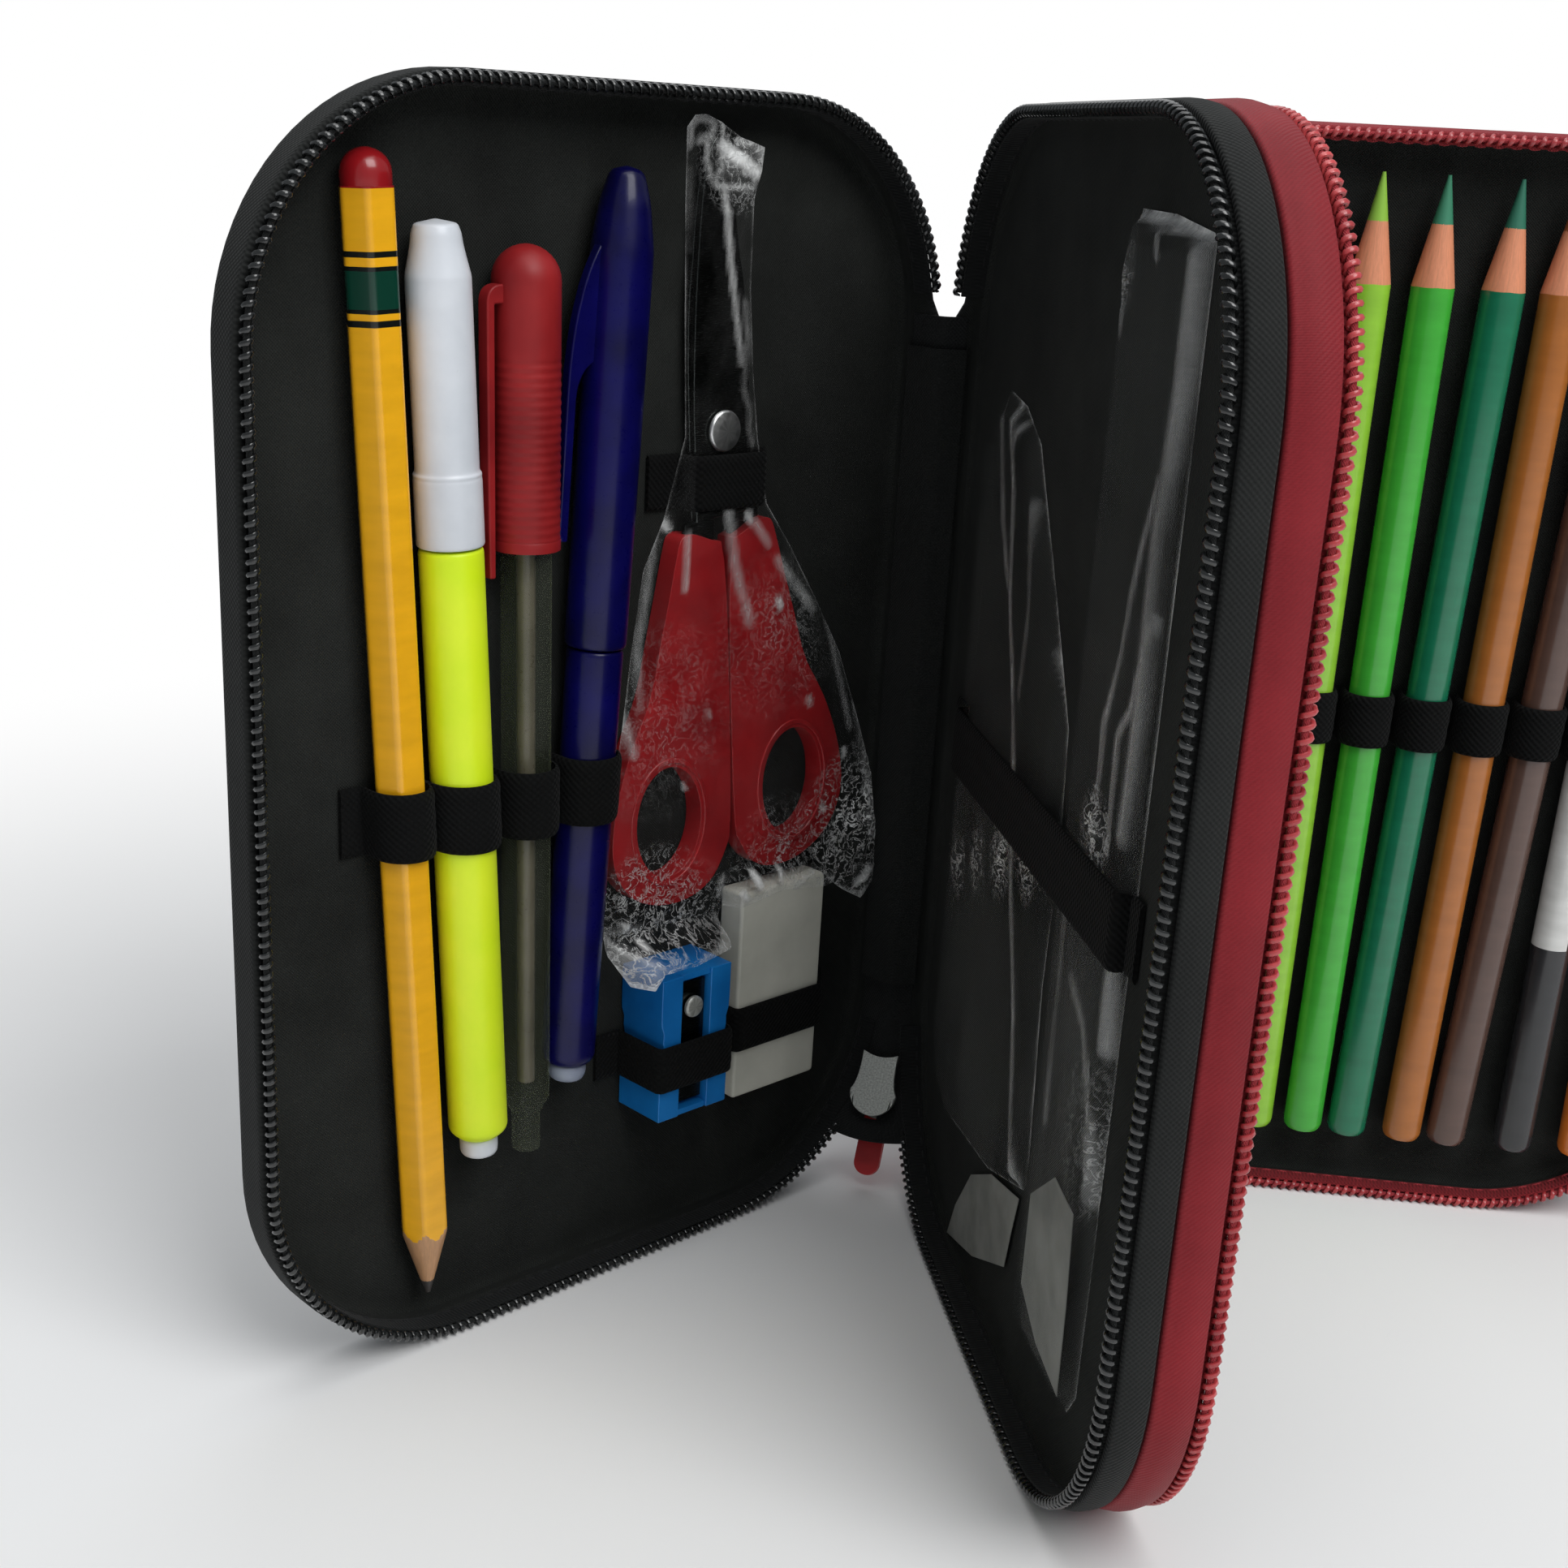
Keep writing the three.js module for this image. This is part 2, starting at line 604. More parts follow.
// The section is drawn in the frame halfway between the two leaves, which each stand half open.
function bindingGeometry(opening, firstDepth, secondDepth) {
  const half = radians(opening) / 2;
  const section = (reach) => {
    const side = (depth, sign) => [
      reach * Math.cos(half) - depth * Math.sin(half),
      sign * (reach * Math.sin(half) + depth * Math.cos(half)),
    ];
    const edge = PANEL + BINDING_HEM;
    return [side(firstDepth - edge, -1), [reach / Math.cos(half), 0], side(secondDepth - edge, 1)];
  };
  const near = section(WALL + TOUCH_GAP);
  const far = section(WALL + TOUCH_GAP + BINDING_THICKNESS);
  return raised(polygon([...near, ...far.reverse()]), BINDING_BOTTOM, BINDING_TOP);
}

// Elastic bands and loops

function bandOver(floor, left, right, humps, bottom, top) {
  const seat = floor - TOUCH_GAP;
  const points = [[left, seat]];
  humps.forEach(({ from, to, front }) => {
    points.push([from - TOUCH_GAP - ELASTIC, seat], [from - TOUCH_GAP, front - TOUCH_GAP]);
    points.push([to + TOUCH_GAP, front - TOUCH_GAP], [to + TOUCH_GAP + ELASTIC, seat]);
  });
  points.push([right, seat]);
  return ribbon(points, ELASTIC, bottom, top);
}

// An arch round an item: half a circle with straight legs to the floor, leaned as the item leans.
function archPrism({ reach, axis, lean }, radius, foot, bottom, top) {
  const shape = new THREE.Shape();
  shape.moveTo(radius, foot);
  shape.lineTo(radius, axis);
  shape.absellipse(0, axis, radius, radius, 0, -Math.PI, true);
  shape.lineTo(-radius, foot);
  const middle = (bottom + top) / 2;
  const settings = { depth: top - bottom, bevelEnabled: false, curveSegments: LOOP_STEPS };
  const leaning = new THREE.Matrix4().makeShear(0, 0, 0, 0, Math.tan(lean), 0);
  return new THREE.ExtrudeGeometry(shape, settings)
    .translate(0, 0, bottom - middle).applyMatrix4(leaning).translate(reach, 0, middle);
}

function loopRow(items, floor, left, right, bottom, top) {
  const seat = floor - TOUCH_GAP;
  const tape = block(left, right, seat - ELASTIC, seat, bottom, top);
  const outers = items.map((item) => archPrism(item, item.radius + TOUCH_GAP + ELASTIC, seat, bottom, top));
  const inners = items.map((item) => (
    archPrism(item, item.radius + TOUCH_GAP, seat + CUT_OVERRUN, bottom - CUT_OVERRUN, top + CUT_OVERRUN)
  ));
  return cut(join(tape, ...outers), ...inners);
}

// Pens and pencils: upright at the origin, then laid in the tray by their two ends

function halfWidth(pen) {
  return pen.radius ?? pen.flats / Math.sqrt(3);
}

// How far from the spine a pen's low and high ends lie.
function reachesOf(pen) {
  const before = PEN_ROW[PEN_ROW.indexOf(pen) - 1];
  if (!before) return [pen.lowReach, pen.highReach];
  const [low, high] = reachesOf(before);
  return [
    low + halfWidth(before) + halfWidth(pen) + pen.lowSpace,
    high + before.capRadius + pen.capRadius + pen.highSpace,
  ];
}

function leanOf(pen) {
  const [lowReach, highReach] = reachesOf(pen);
  return Math.atan2(highReach - lowReach, LEAF_HEIGHT - pen.headroom - pen.low);
}

function lengthOf(pen) {
  return (LEAF_HEIGHT - pen.headroom - pen.low) / Math.cos(leanOf(pen));
}

function reachAt(pen, height) {
  return reachesOf(pen)[0] + (height - pen.low) * Math.tan(leanOf(pen));
}

// The place of a pen's part that begins some way up the pen; the pen's widest part rests on the floor.
function layPen(pen, radius, floor, along = 0) {
  const lean = leanOf(pen);
  return {
    u: reachAt(pen, pen.low) + along * Math.sin(lean),
    depth: floor - TOUCH_GAP - radius,
    z: pen.low + along * Math.cos(lean),
    lean,
  };
}

function layCap(pen, floor) {
  return layPen(pen, pen.capRadius, floor, lengthOf(pen) - pen.capLength);
}

// A hexagonal rod whose flats face up and down the depth.
function hexagonRod(flats, bottom, top) {
  const corner = flats / Math.sqrt(3);
  const profile = [[0, bottom], [corner, bottom], [corner, top], [0, top]];
  return turned(profile, HEXAGON_SIDES, HALF_TURN / HEXAGON_SIDES);
}

function pencilGeometry() {
  const { flats, cone, point, cap, capRadius, capNose } = PENCIL;
  const length = lengthOf(PENCIL);
  const corner = flats / Math.sqrt(3);
  const rod = hexagonRod(flats, 0, length - cap);
  const slope = corner / cone;
  const sharpened = turned([
    [0, 0], [point, 0], [corner + slope * CUT_OVERRUN, cone + CUT_OVERRUN],
    [corner + slope * CUT_OVERRUN, length], [0, length],
  ], PEN_SIDES);
  const dipped = turned([
    [0, length - cap - CUT_OVERRUN], [capRadius, length - cap - CUT_OVERRUN], [capRadius, length - capNose],
    [capRadius / 2, length], [0, length],
  ], PEN_SIDES);
  return fromManifold(toManifold(rod).intersect(toManifold(sharpened)).add(toManifold(dipped)));
}

function markerBarrel() {
  const { radius, plugRadius, plug, shoulder, neckRadius, neck, capLength } = MARKER;
  const seat = lengthOf(MARKER) - capLength - TOUCH_GAP;
  return turned([
    [0, 0], [plugRadius, 0], [plugRadius, plug], [radius, plug + shoulder], [radius, seat],
    [neckRadius, seat], [neckRadius, seat + neck], [0, seat + neck],
  ], PEN_SIDES);
}

function markerCap() {
  const { capLength, capRadius, capSkirt, capLedge, capTip, capTaper, capBevel, neckRadius, neck } = MARKER;
  const bore = neckRadius + RUNNING_GAP;
  return turned([
    [bore, 0], [capRadius, 0], [capRadius, capSkirt], [capRadius - capLedge, capSkirt + capLedge],
    [capRadius - capLedge, capLength - capTaper], [capTip + capBevel, capLength - capBevel],
    [capTip, capLength], [0, capLength], [0, neck + CUT_OVERRUN], [bore, neck + CUT_OVERRUN], [bore, 0],
  ], PEN_SIDES);
}

function ballpenBarrel() {
  const { flats, heelRadius, heel, heelTaper, bore, boreStart, barrelDrop } = BALLPEN;
  const top = lengthOf(BALLPEN) - barrelDrop;
  const over = top + CUT_OVERRUN;
  const rod = hexagonRod(flats, 0, top);
  const corner = flats / Math.sqrt(3);
  const rounded = turned([
    [0, 0], [heelRadius, 0], [heelRadius, heel], [corner, heel + heelTaper], [corner, top], [0, top],
  ], PEN_SIDES);
  const refillWay = turned([[0, boreStart], [bore, boreStart], [bore, over], [0, over]], SMALL_SIDES);
  return fromManifold(toManifold(rod).intersect(toManifold(rounded)).subtract(toManifold(refillWay)));
}

function ballpenRefill() {
  const { boreStart, refillRadius, refillDrop, refillTipRadius, refillCone } = BALLPEN;
  const bottom = boreStart + TOUCH_GAP;
  const top = lengthOf(BALLPEN) - refillDrop;
  return turned([
    [0, bottom], [refillRadius, bottom], [refillRadius, top - refillCone], [refillTipRadius, top], [0, top],
  ], SMALL_SIDES);
}

// The clip springs from the cap's crown and runs down beside it, past the cap's mouth.
function clipBlade(inner, outer, foot, crown, root, thickness) {
  return plate(polygon([
    [inner, foot], [outer, foot], [outer, crown - root], [outer - root, crown], [0, crown], [0, crown - root],
    [inner, crown - root],
  ]), -thickness / 2, thickness / 2);
}

function ballpenCap() {
  const { capLength, capRadius, capTip, capDome, capBore, capCeiling, capRib, capRibs } = BALLPEN;
  const { clipWidth, clipStand, clipThickness, clipTop, clipOverhang } = BALLPEN;
  const ribbed = [];
  const ribPitch = (capLength - capDome) / (2 * capRibs + 1);
  for (let rib = 0; rib < capRibs; rib += 1) {
    const at = ribPitch * (2 * rib + 1);
    ribbed.push([capRadius - capRib, at], [capRadius, at + ribPitch / 2]);
  }
  const ceiling = capLength - capCeiling;
  const shell = turned([
    [capBore, 0], [capRadius, 0], ...ribbed, [capRadius - capRib, capLength - capDome],
    [capTip, capLength], [0, capLength], [0, ceiling], [capBore, ceiling], [capBore, 0],
  ], PEN_SIDES);
  const inner = capRadius + clipStand;
  const crown = capLength - clipTop;
  const clip = clipBlade(inner, inner + clipThickness, -clipOverhang, crown, clipTop / 2, clipWidth);
  const bore = turned([[0, 0], [capBore, 0], [capBore, ceiling], [0, ceiling]], PEN_SIDES);
  return fromManifold(toManifold(shell).add(toManifold(clip).subtract(toManifold(bore))));
}

function erasableBarrel() {
  const { radius, plugRadius, plug, shoulder, neckRadius, neck, capLength } = ERASABLE;
  const seat = lengthOf(ERASABLE) - capLength - TOUCH_GAP;
  return turned([
    [0, 0], [plugRadius / 2, 0], [plugRadius, plug / 2], [plugRadius, plug], [radius, plug + shoulder],
    [radius, seat], [neckRadius, seat], [neckRadius, seat + neck], [0, seat + neck],
  ], PEN_SIDES);
}

// The clip is a thin curved fin that stands well off the cap.
function erasableCap() {
  const { capLength, capRadius, capTip, capTaper, neckRadius, neck } = ERASABLE;
  const { clipThickness, clipStand, clipTop, clipBottom, clipSlope } = ERASABLE;
  const bore = neckRadius + RUNNING_GAP;
  const shell = turned([
    [bore, 0], [capRadius, 0], [capRadius, capLength - capTaper], [capTip, capLength], [0, capLength],
    [0, neck + CUT_OVERRUN], [bore, neck + CUT_OVERRUN], [bore, 0],
  ], PEN_SIDES);
  const high = capLength - clipTop;
  const low = capLength - clipBottom;
  const fin = new THREE.Shape();
  fin.moveTo(0, high + clipTop / 2);
  fin.quadraticCurveTo(capRadius + clipStand, high, capRadius + clipStand, high - clipSlope);
  fin.lineTo(capRadius + clipStand, low);
  fin.lineTo(capRadius + clipStand - clipThickness, low);
  fin.lineTo(capRadius + clipStand - clipThickness, high - clipSlope);
  fin.quadraticCurveTo(capRadius + clipStand / 2, high - clipTop, 0, high - clipTop);
  return join(shell, plate(fin, -clipThickness / 2, clipThickness / 2, CURVE_STEPS));
}

// Scissors: drawn about their rivet, blades up, the two halves mirrored left and right

const BLADE_BACK = COVER_DEPTH - PANEL - TOUCH_GAP - SCISSORS.rivetHeadHeight - TOUCH_GAP;
const BLADE_PITCH = SCISSORS.bladeThickness + TOUCH_GAP;

function bladeGeometry(side, back) {
  const { bladeLength, bladeWidth, bladeTip, bladeThickness, tangWidth, tangLength, tangOffset } = SCISSORS;
  const { rivetHole, edgeGround, handleTop } = SCISSORS;
  const half = bladeWidth / 2;
  const foot = TOUCH_GAP - handleTop;
  const tangOuter = tangOffset + tangWidth / 2;
  const tangInner = tangOffset - tangWidth / 2;
  const shape = polygon([
    [-side * half, foot], [-side * half, bladeTip], [-side * (half - edgeGround), bladeLength / 2],
    [0, bladeLength], [side * bladeTip / 2, bladeLength - bladeTip], [side * half, bladeTip],
    [side * half, foot], [side * tangOuter, foot], [side * tangOuter, -tangLength],
    [side * tangInner, -tangLength], [side * tangInner, foot],
  ]);
  const hole = new THREE.Path();
  hole.absellipse(0, 0, rivetHole, rivetHole, 0, 2 * Math.PI, false);
  shape.holes.push(hole);
  return plate(shape, back - bladeThickness, back, CURVE_STEPS);
}

function handleGeometry(side, bladeBack) {
  const { handleTop, handleThickness, handleTopWidth, shoulderDrop, shoulderWidth } = SCISSORS;
  const { ringCentre, ringDrop, ringWidth, ringHeight, holeWidth, holeHeight, cleft, cleftWidth } = SCISSORS;
  const { tangWidth, tangLength, tangOffset, bladeThickness } = SCISSORS;
  const split = TOUCH_GAP / 2;
  const shape = new THREE.Shape();
  shape.moveTo(split, -handleTop);
  shape.lineTo(handleTopWidth, -handleTop);
  shape.lineTo(shoulderWidth, -handleTop - shoulderDrop / 2);
  shape.quadraticCurveTo(ringCentre + ringWidth, -ringDrop + ringHeight, ringCentre + ringWidth, -ringDrop);
  shape.absellipse(ringCentre, -ringDrop, ringWidth, ringHeight, 0, -Math.PI, true);
  shape.quadraticCurveTo(cleftWidth, -cleft, split, -cleft);
  const hole = new THREE.Path();
  hole.absellipse(ringCentre, -ringDrop, holeWidth, holeHeight, 0, 2 * Math.PI, false);
  shape.holes.push(hole);
  const back = COVER_DEPTH - PANEL - TOUCH_GAP;
  const body = plate(shape, back - handleThickness, back, RING_STEPS);
  const socket = block(
    tangOffset - tangWidth / 2 - TOUCH_GAP, tangOffset + tangWidth / 2 + TOUCH_GAP,
    bladeBack - bladeThickness - TOUCH_GAP, bladeBack + TOUCH_GAP,
    -tangLength - TOUCH_GAP, CUT_OVERRUN - handleTop,
  );
  return cut(body, socket).scale(side, 1, 1);
}

function rivetGeometry() {
  const { rivetRadius, rivetHead, rivetHeadHeight, bladeThickness } = SCISSORS;
  const stack = 2 * bladeThickness + 3 * TOUCH_GAP;
  return turned([
    [0, 0], [rivetHead, 0], [rivetHead, rivetHeadHeight], [rivetRadius, rivetHeadHeight],
    [rivetRadius, rivetHeadHeight + stack], [rivetHead, rivetHeadHeight + stack],
    [rivetHead * Math.SQRT1_2, 2 * rivetHeadHeight + stack], [0, 2 * rivetHeadHeight + stack],
  ], RIVET_SIDES).rotateX(RIGHT_ANGLE);
}

function addScissors(leaf) {
  const { pivotReach, pivotDrop, lean } = SCISSORS;
  const place = { u: pivotReach, z: LEAF_HEIGHT - pivotDrop, lean: radians(lean) };
  const frontBack = BLADE_BACK - BLADE_PITCH;
  addPiece(leaf, 'scissors_blade_front', bladeGeometry(1, frontBack), STEEL, place);
  addPiece(leaf, 'scissors_blade_back', bladeGeometry(-1, BLADE_BACK), STEEL, place);
  addPiece(leaf, 'scissors_handle_left', handleGeometry(1, frontBack), HANDLE_RED, place);
  addPiece(leaf, 'scissors_handle_right', handleGeometry(-1, BLADE_BACK), HANDLE_RED, place);
  const seat = COVER_DEPTH - PANEL - TOUCH_GAP;
  addPiece(leaf, 'scissors_rivet', rivetGeometry(), STEEL, { ...place, depth: seat });
}

// Sharpener: a block with a tapered bore along it, open to a groove that the blade lies across

function sharpenerPlace() {
  const back = COVER_DEPTH - PANEL - TOUCH_GAP;
  return { back, front: back - SHARPENER.depth, middle: (SHARPENER.left + SHARPENER.right) / 2 };
}

function sharpenerBody() {
  const { left, right, bottom, top, groove, grooveDepth, waist, shoulder, bore, boreTip } = SHARPENER;
  const { back, front, middle } = sharpenerPlace();
  const centre = (bottom + top) / 2;
  const sides = polygon([
    [left, bottom], [right, bottom], [right, bottom + shoulder], [right - waist, centre],
    [right, top - shoulder], [right, top], [left, top], [left, top - shoulder], [left + waist, centre],
    [left, bottom + shoulder],
  ]);
  const channel = block(
    middle - groove / 2, middle + groove / 2, front - CUT_OVERRUN, front + grooveDepth,
    bottom - CUT_OVERRUN, top + CUT_OVERRUN,
  );
  const end = top - bottom - bore;
  const pencilWay = turned([[0, -CUT_OVERRUN], [bore, -CUT_OVERRUN], [boreTip, end], [0, end]], RIVET_SIDES)
    .translate(middle, front + grooveDepth + bore / 2, bottom);
  return cut(plate(sides, front, back), channel, pencilWay, screwHole(front + grooveDepth));
}

function screwHole(depth) {
  const { screwShank, screwDrop, top } = SHARPENER;
  const radius = screwShank + TOUCH_GAP;
  return new THREE.CylinderGeometry(radius, radius, SHARPENER.depth, SMALL_SIDES)
    .translate(sharpenerPlace().middle, depth, top - screwDrop);
}

function sharpenerBladePlace() {
  const { front } = sharpenerPlace();
  const back = front + SHARPENER.grooveDepth - TOUCH_GAP;
  return { back, front: back - SHARPENER.bladeThickness };
}

function sharpenerBlade() {
  const { bottom, top, bladeWidth, bladeLength } = SHARPENER;
  const { middle } = sharpenerPlace();
  const { front, back } = sharpenerBladePlace();
  const slab = block(
    middle - bladeWidth / 2, middle + bladeWidth / 2, front, back,
    (bottom + top - bladeLength) / 2, (bottom + top + bladeLength) / 2,
  );
  return cut(slab, screwHole(back));
}

function sharpenerScrew() {
  const { screwRadius, screwShank, screwLength, screwHead, screwDrop, top } = SHARPENER;
  const under = sharpenerBladePlace().front - TOUCH_GAP;
  return turned([
    [0, -screwLength], [screwShank, -screwLength], [screwShank, 0], [screwRadius, 0],
    [screwRadius, screwHead], [0, screwHead],
  ], SMALL_SIDES).rotateX(RIGHT_ANGLE).translate(sharpenerPlace().middle, under, top - screwDrop);
}

function eraserGeometry() {
  const { left, right, bottom, top, depth, edge } = ERASER;
  const back = COVER_DEPTH - PANEL - TOUCH_GAP;
  const outline = polygon([
    [left + edge, back], [right - edge, back], [right, back - edge], [right, back - depth + edge],
    [right - edge, back - depth], [left + edge, back - depth], [left, back - depth + edge],
    [left, back - edge],
  ]);
  return raised(outline, bottom, top);
}

// Ruler and set square

const BLACK_FLOOR = BLACK_DEPTH - PANEL;
const BLACK_SEAT = BLACK_FLOOR - TOUCH_GAP;

function rulerGeometry() {
  const { left, width, bottom, length, thickness, bevel, edge } = RULER;
  const front = BLACK_SEAT - thickness;
  return raised(polygon([
    [left, BLACK_SEAT], [left + width, BLACK_SEAT], [left + width, BLACK_SEAT - edge],
    [left + width - bevel, front], [left, front],
  ]), bottom, bottom + length);
}

function squareGeometry() {
  const { left, bottom, longLeg, shortLeg, thickness, cutInset } = SQUARE;
  const slant = Math.hypot(longLeg, shortLeg);
  const shape = polygon([[left, bottom], [left + shortLeg, bottom], [left, bottom + longLeg]]);
  const inradius = (longLeg + shortLeg - slant) / 2;
  const share = 1 - cutInset / inradius;
  const [u, z] = [left + inradius, bottom + inradius];
  const window = [[left, bottom], [left, bottom + longLeg], [left + shortLeg, bottom]].map(([x, y]) => (
    new THREE.Vector2(u + (x - u) * share, z + (y - z) * share)
  ));
  shape.holes.push(new THREE.Path(window));
  return plate(shape, BLACK_SEAT - thickness, BLACK_SEAT);
}

// Coloured pencils

const RED_FLOOR = RED_DEPTH - PANEL;

function crayonGeometry() {
  const { length, radius, cone, lead, point, heel } = CRAYON;
  const leadLength = (cone * lead) / radius;
  return turned([
    [0, 0], [radius - heel, 0], [radius, heel], [radius, length - cone], [lead, length - leadLength],
    [point, length], [0, length],
  ], PEN_SIDES);
}

function addCrayons(leaf) {
  const { first, spacing, low, radius } = CRAYON;
  const { bottom, top } = CRAYON_LOOPS;
  const axis = RED_FLOOR - TOUCH_GAP - radius;
  const items = CRAYON_LEANS.map((lean, index) => (
    { reach: first + spacing * index, axis, lean: radians(lean), radius }
  ));
  items.forEach(({ reach, lean }, index) => {
    const finish = { color: CRAYON_COLOURS[index], roughness: 0.35, metalness: 0 };
    const name = `coloured_pencil_${String(index + 1).padStart(2, '0')}`;
    const heel = reach - ((bottom + top) / 2 - low) * Math.tan(lean);
    addPiece(leaf, name, crayonGeometry(), finish, { u: heel, depth: axis, z: low, lean });
  });
  const edge = radius + TOUCH_GAP + ELASTIC + ELASTIC_TAB;
  const row = loopRow(items, RED_FLOOR, items[0].reach - edge, items.at(-1).reach + edge, bottom, top);
  addPiece(leaf, 'coloured_pencil_loops', row, ELASTIC_CLOTH);
}

// Front cover

const COVER_FLOOR = COVER_DEPTH - PANEL;

function addPens(leaf) {
  const add = (name, geometry, finish, place) => addPiece(leaf, name, geometry, finish, place);
  const markerPlace = layPen(MARKER, MARKER.capRadius, COVER_FLOOR);
  const ballpenPlace = layPen(BALLPEN, BALLPEN.capRadius, COVER_FLOOR);
  const erasablePlace = layPen(ERASABLE, ERASABLE.capRadius, COVER_FLOOR);
  add('graphite_pencil', pencilGeometry(), YELLOW_LACQUER, layPen(PENCIL, PENCIL.flats / 2, COVER_FLOOR));
  add('highlighter_barrel', markerBarrel(), MARKER_YELLOW, markerPlace);
  add('highlighter_cap', markerCap(), MARKER_WHITE, layCap(MARKER, COVER_FLOOR));
  add('red_pen_barrel', ballpenBarrel(), CLEAR_PLASTIC, ballpenPlace);
  add('red_pen_refill', ballpenRefill(), INK_TUBE, ballpenPlace);
  add('red_pen_cap', ballpenCap(), PEN_RED, layCap(BALLPEN, COVER_FLOOR));
  add('blue_pen_barrel', erasableBarrel(), PEN_BLUE, erasablePlace);
  add('blue_pen_cap', erasableCap(), PEN_BLUE, layCap(ERASABLE, COVER_FLOOR));
}

// The loops close round the barrels; each pen rests on the floor with the widest part it has.
function penLoopsGeometry() {
  const { left, right, bottom, top } = LOOP_ROW;
  const middle = (bottom + top) / 2;
  const items = [
    [PENCIL, PENCIL.flats / 2], [MARKER, MARKER.capRadius], [BALLPEN, BALLPEN.capRadius],
    [ERASABLE, ERASABLE.capRadius],
  ].map(([pen, seat]) => ({
    reach: reachAt(pen, middle),
    axis: COVER_FLOOR - TOUCH_GAP - seat,
    lean: leanOf(pen),
    radius: halfWidth(pen),
  }));
  return loopRow(items, COVER_FLOOR, left, right, bottom, top);
}

function addCoverBands(leaf) {
  const { drop, width, left, right } = SCISSORS_BAND;
  const bottom = LEAF_HEIGHT - drop;
  const front = COVER_FLOOR - TOUCH_GAP - SCISSORS.handleThickness - TOUCH_GAP;
  const half = SCISSORS.bladeWidth / 2;
  const shift = (SCISSORS.pivotDrop - drop) * Math.tan(radians(SCISSORS.lean));
  const over = [{ from: SCISSORS.pivotReach - half + 2 * shift, to: SCISSORS.pivotReach + half, front }];
  const across = bandOver(COVER_FLOOR, left, right, over, bottom, bottom + width);
  addPiece(leaf, 'scissors_band', across, ELASTIC_CLOTH);
  const humps = [
    { from: ERASER.left, to: ERASER.right, front: COVER_FLOOR - TOUCH_GAP - ERASER.depth },
    { from: SHARPENER.left, to: SHARPENER.right, front: sharpenerPlace().front },
  ];
  const keeper = bandOver(
    COVER_FLOOR, ERASER.left - BAND_TAB, SHARPENER.right + BAND_TAB, humps,
    KEEPER_BAND.bottom, KEEPER_BAND.top,
  );
  addPiece(leaf, 'sharpener_eraser_band', keeper, ELASTIC_CLOTH);
}

// Assembly

const cover = makeLeaf(model, -BLACK_DEPTH, 0, -RIGHT_ANGLE - radians(COVER_OPENING), -1);
const firstBlack = makeLeaf(model, -BLACK_DEPTH, 0, -RIGHT_ANGLE, 1);
const firstRed = makeLeaf(model, RED_DEPTH, 0, -RIGHT_ANGLE, -1);
const secondRed = makeLeaf(model, RED_DEPTH, 0, radians(DIVIDER_OPENING) - RIGHT_ANGLE, 1);
const secondBlack = makeLeaf(secondRed.group, 0, RED_DEPTH + BLACK_DEPTH, 0, -1);
const backCover = makeLeaf(secondRed.group, 0, RED_DEPTH + BLACK_DEPTH, 0, 1);
const firstMouth = makeLeaf(model, -BLACK_DEPTH, 0, -RIGHT_ANGLE - radians(COVER_OPENING) / 2, 1);
const secondMouth = makeLeaf(model, RED_DEPTH, 0, radians(DIVIDER_OPENING) / 2 - RIGHT_ANGLE, 1);
const thirdMouth = makeLeaf(secondRed.group, 0, RED_DEPTH + BLACK_DEPTH, 0, 1);

addPiece(cover, 'front_cover', trayGeometry(COVER_DEPTH, COVER_ROUND), BLACK_FABRIC);
addPiece(firstBlack, 'first_divider_black', trayGeometry(BLACK_DEPTH, DIVIDER_ROUND), BLACK_FABRIC);
addPiece(firstRed, 'first_divider_red', trayGeometry(RED_DEPTH, DIVIDER_ROUND), RED_FABRIC);
addPiece(secondRed, 'second_divider_red', trayGeometry(RED_DEPTH, DIVIDER_ROUND), RED_FABRIC);
addPiece(secondBlack, 'second_divider_black', trayGeometry(BLACK_DEPTH, DIVIDER_ROUND), BLACK_FABRIC);
addPiece(backCover, 'back_cover', trayGeometry(COVER_DEPTH, COVER_ROUND), BLACK_FABRIC);

addPiece(cover, 'front_cover_zip', zipGeometry(false), BLACK_ZIP);
addPiece(firstBlack, 'first_divider_black_zip', zipGeometry(false), BLACK_ZIP);
addPiece(firstRed, 'first_divider_red_zip', zipGeometry(false), RED_ZIP);
addPiece(secondRed, 'second_divider_red_zip', zipGeometry(false), RED_ZIP);
addPiece(secondBlack, 'second_divider_black_zip', zipGeometry(true), BLACK_ZIP);
addPiece(backCover, 'back_cover_zip', zipGeometry(true), BLACK_ZIP);

addSlider(firstMouth, 1, false);
addSlider(secondMouth, 2, false);
addSlider(thirdMouth, 3, true);

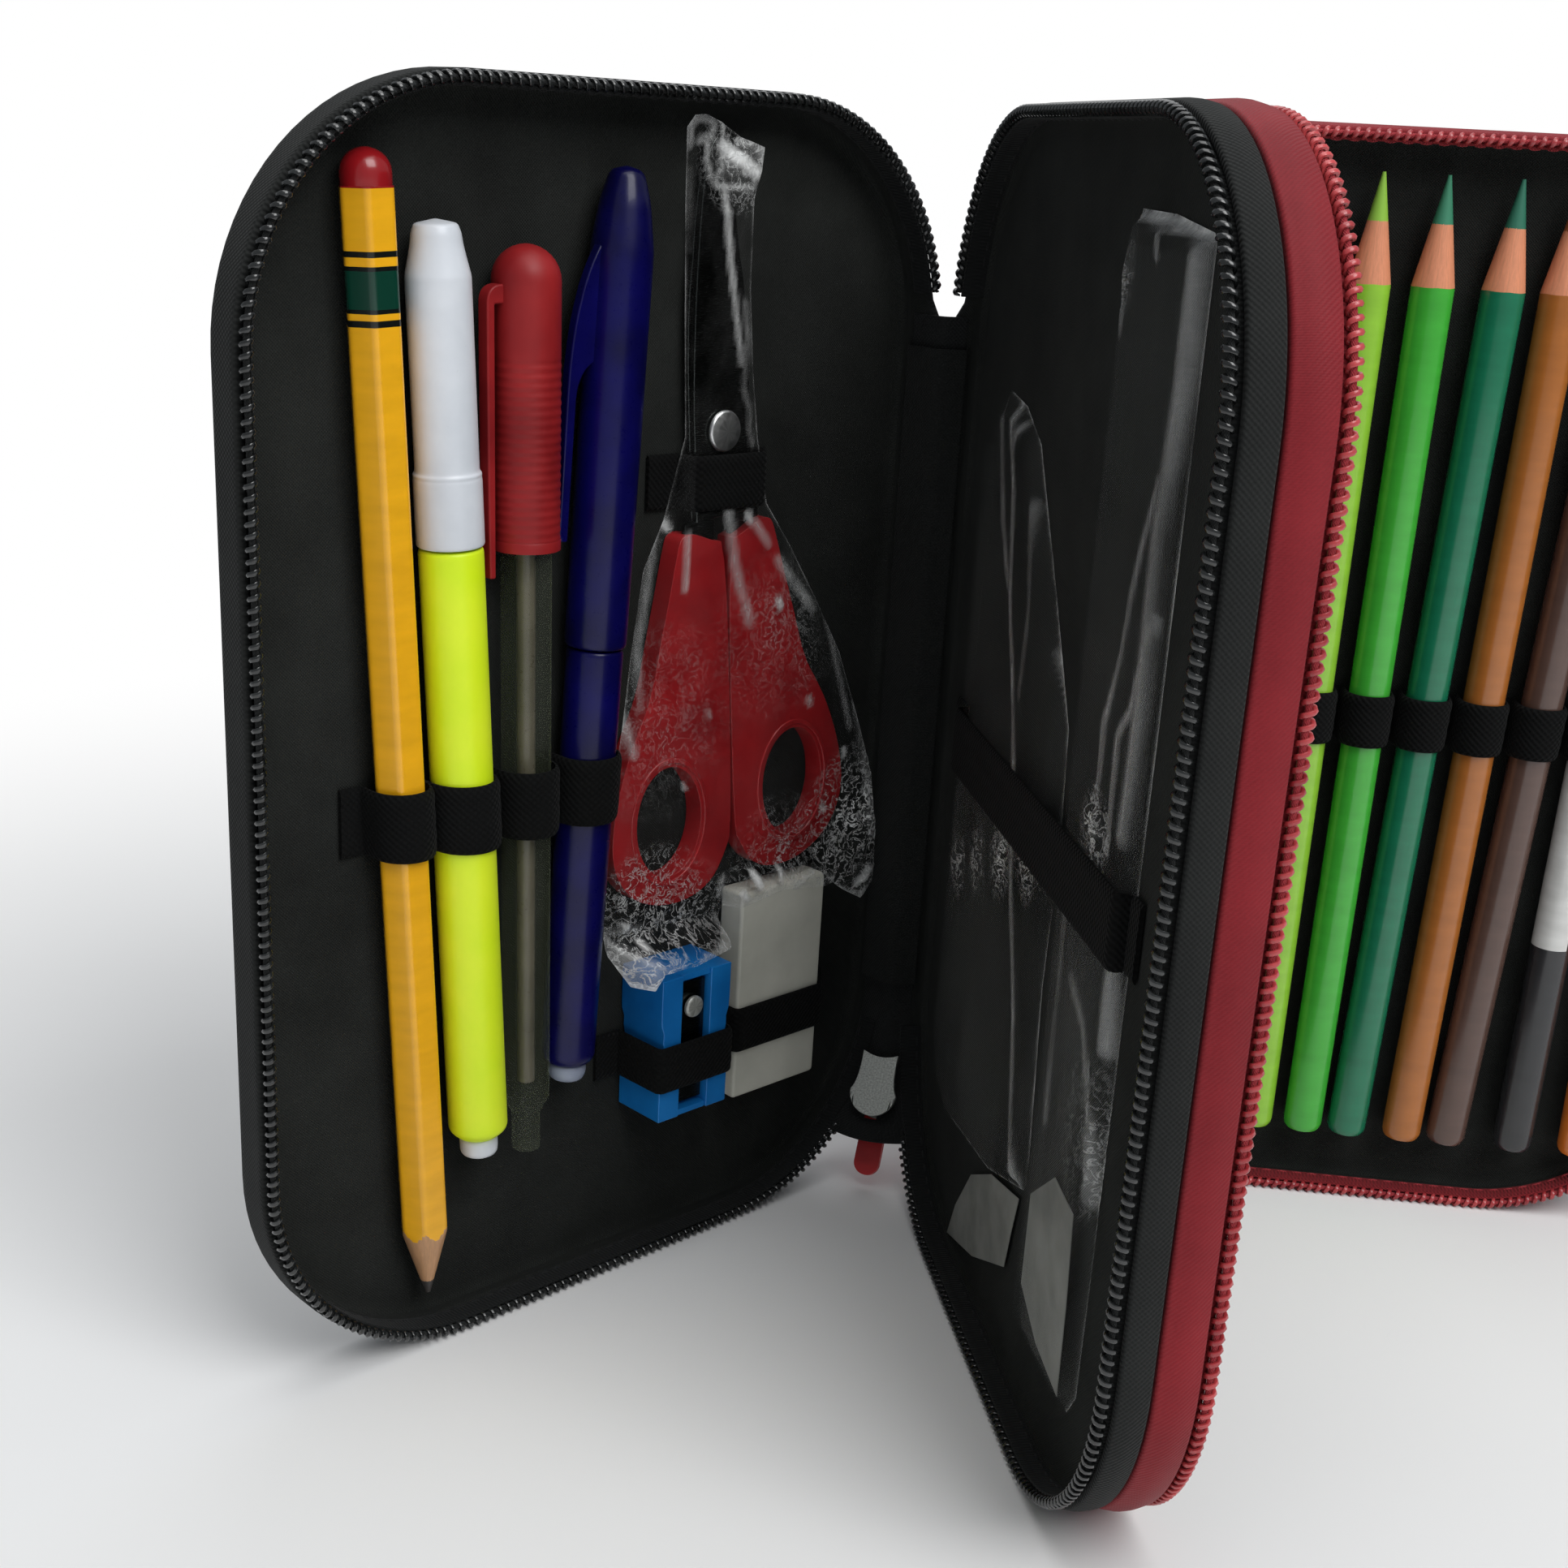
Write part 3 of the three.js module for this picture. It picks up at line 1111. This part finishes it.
const firstBinding = bindingGeometry(COVER_OPENING, COVER_DEPTH, BLACK_DEPTH);
const secondBinding = bindingGeometry(DIVIDER_OPENING, RED_DEPTH, RED_DEPTH);
const thirdBinding = bindingGeometry(0, BLACK_DEPTH, COVER_DEPTH);
addPiece(firstMouth, 'spine_binding_1', firstBinding, BINDING_CLOTH);
addPiece(secondMouth, 'spine_binding_2', secondBinding, BINDING_CLOTH);
addPiece(thirdMouth, 'spine_binding_3', thirdBinding, BINDING_CLOTH);

addPens(cover);
addPiece(cover, 'pen_loops', penLoopsGeometry(), ELASTIC_CLOTH);
addScissors(cover);
addPiece(cover, 'sharpener_body', sharpenerBody(), SHARPENER_BLUE);
addPiece(cover, 'sharpener_blade', sharpenerBlade(), STEEL);
addPiece(cover, 'sharpener_screw', sharpenerScrew(), STEEL);
addPiece(cover, 'eraser', eraserGeometry(), ERASER_WHITE);
addCoverBands(cover);

addPiece(firstBlack, 'ruler', rulerGeometry(), CLEAR_ACRYLIC);
addPiece(firstBlack, 'set_square', squareGeometry(), CLEAR_ACRYLIC);
const flatItems = [{ from: SQUARE.left, to: RULER.left + RULER.width, front: BLACK_SEAT - RULER.thickness }];
const squareBand = bandOver(
  BLACK_FLOOR, SQUARE_BAND.left, SQUARE_BAND.right, flatItems, SQUARE_BAND.bottom, SQUARE_BAND.top,
);
addPiece(firstBlack, 'ruler_square_band', squareBand, ELASTIC_CLOTH);

addCrayons(secondRed);

function spareBand(floor) {
  return bandOver(floor, SPARE_BAND.left, SPARE_BAND.right, [], SPARE_BAND.bottom, SPARE_BAND.top);
}

addPiece(firstRed, 'first_divider_red_band', spareBand(RED_FLOOR), ELASTIC_CLOTH);
addPiece(backCover, 'back_cover_band', spareBand(COVER_FLOOR), ELASTIC_CLOTH);

// The origin is under the middle of the standing case.
const group = new THREE.Group();
group.add(model);
group.updateMatrixWorld(true);
const box = new THREE.Box3().setFromObject(model, true);
model.position.set(-(box.min.x + box.max.x) / 2, -(box.min.y + box.max.y) / 2, -box.min.z);

export default group;
